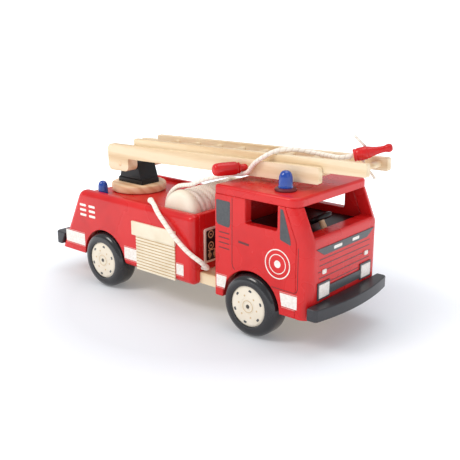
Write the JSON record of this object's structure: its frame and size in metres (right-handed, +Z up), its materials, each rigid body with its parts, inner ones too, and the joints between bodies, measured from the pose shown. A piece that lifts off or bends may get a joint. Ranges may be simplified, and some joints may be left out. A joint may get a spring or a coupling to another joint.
{
  "type": "toy fire engine",
  "caption": "Wooden toy fire engine with a turning, tilting and extending ladder, a hose reel, free-rolling wheels and an open cab with a steering wheel.",
  "frame": {"origin": "middle of the footprint, on the floor under the wheels", "axes": "+X towards the front bumper, +Y to the vehicle's left, +Z up"},
  "size_m": [0.4037, 0.1339, 0.1976],
  "materials": {
    "red_paint": "glossy red lacquer on wood",
    "dark_red": "dark red satin paint",
    "blue_paint": "glossy blue lacquer on turned wood",
    "pale_wood": "clear satin lacquer",
    "birch_wood": "bare sanded wood",
    "black_paint": "satin black paint on wood",
    "grey_paint": "satin dark grey paint on wood",
    "cream_paint": "cream paint",
    "tyre_paint": "satin charcoal paint on a turned wood wheel",
    "hose_cord": "cream braided cotton cord",
    "lamp_white": "white printed lamp face",
    "steel": "dulled steel"
  },
  "bodies": {
    "vehicle": {"chassis_board": "pale_wood", "axle_blocks": "pale_wood", "rear_side_right": "red_paint", "rear_side_left": "red_paint", "rear_end_panel": "red_paint", "rear_deck": "red_paint", "rear_front_wall": "red_paint", "pump_panel": "cream_paint", "shutter_right": "cream_paint", "shutter_left": "cream_paint", "rear_bumper": "grey_paint", "cab_side_right": "red_paint", "cab_side_left": "red_paint", "cab_front_panel": "red_paint", "cab_roof": "red_paint", "cab_back_wall": "red_paint", "dash_shelf": "black_paint", "steering_column": "birch_wood", "front_band": "grey_paint", "headlight_frames": "grey_paint", "headlight_lenses": "lamp_white", "light_bar": "grey_paint", "indicators": "grey_paint", "front_bumper": "grey_paint", "front_beacon_base": "dark_red", "front_beacon_dome": "blue_paint", "rear_beacon_dome": "blue_paint", "turntable_pin": "birch_wood", "reel_axle": "birch_wood", "hose_lead": "hose_cord", "side_hose": "hose_cord", "side_hose_end": "hose_cord"},
    "front_wheels": {"front_tyres": "tyre_paint", "front_hubs": "cream_paint", "front_axle": "steel"},
    "rear_wheels": {"rear_tyres": "tyre_paint", "rear_hubs": "cream_paint", "rear_axle": "steel"},
    "turntable": {"turntable_disc": "birch_wood", "pedestal": "black_paint", "pivot_pin": "birch_wood"},
    "lower_ladder": {"lower_rail_right": "pale_wood", "lower_rail_left": "pale_wood", "lower_rungs": "pale_wood", "hose_peg": "red_paint", "ladder_hose": "hose_cord"},
    "upper_ladder": {"upper_rail_right": "pale_wood", "upper_rail_left": "pale_wood", "upper_rungs": "pale_wood", "nozzle": "red_paint", "tie_cord": "hose_cord"},
    "reel": {"reel_drum": "cream_paint", "hose_winding": "hose_cord"},
    "steering": {"steering_wheel": "black_paint"}
  },
  "joints": [
    {"name": "front_axle_spin", "type": "hinge", "parent": "vehicle", "child": "front_wheels", "pos_m": [0.0999, 0, 0.0315], "axis": [0, 1, 0], "continuous": true},
    {"name": "rear_axle_spin", "type": "hinge", "parent": "vehicle", "child": "rear_wheels", "pos_m": [-0.1124, 0, 0.0315], "axis": [0, 1, 0], "continuous": true},
    {"name": "turntable_turn", "type": "hinge", "parent": "vehicle", "child": "turntable", "pos_m": [-0.118, 0, 0.1117], "axis": [0, 0, 1], "continuous": true},
    {"name": "ladder_lift", "type": "hinge", "parent": "turntable", "child": "lower_ladder", "pos_m": [-0.118, 0, 0.1365], "axis": [0, -1, 0], "range_deg": [0, 70]},
    {"name": "ladder_extend", "type": "slide", "parent": "lower_ladder", "child": "upper_ladder", "axis": [0.9994, 0, 0.0349], "range_m": [0, 0.12]},
    {"name": "reel_turn", "type": "hinge", "parent": "vehicle", "child": "reel", "pos_m": [-0.0065, 0, 0.1015], "axis": [0, 1, 0], "continuous": true},
    {"name": "steering_turn", "type": "hinge", "parent": "vehicle", "child": "steering", "pos_m": [0.1475, -0.007, 0.1039], "axis": [-0.5, 0, 0.866], "continuous": true}
  ]
}
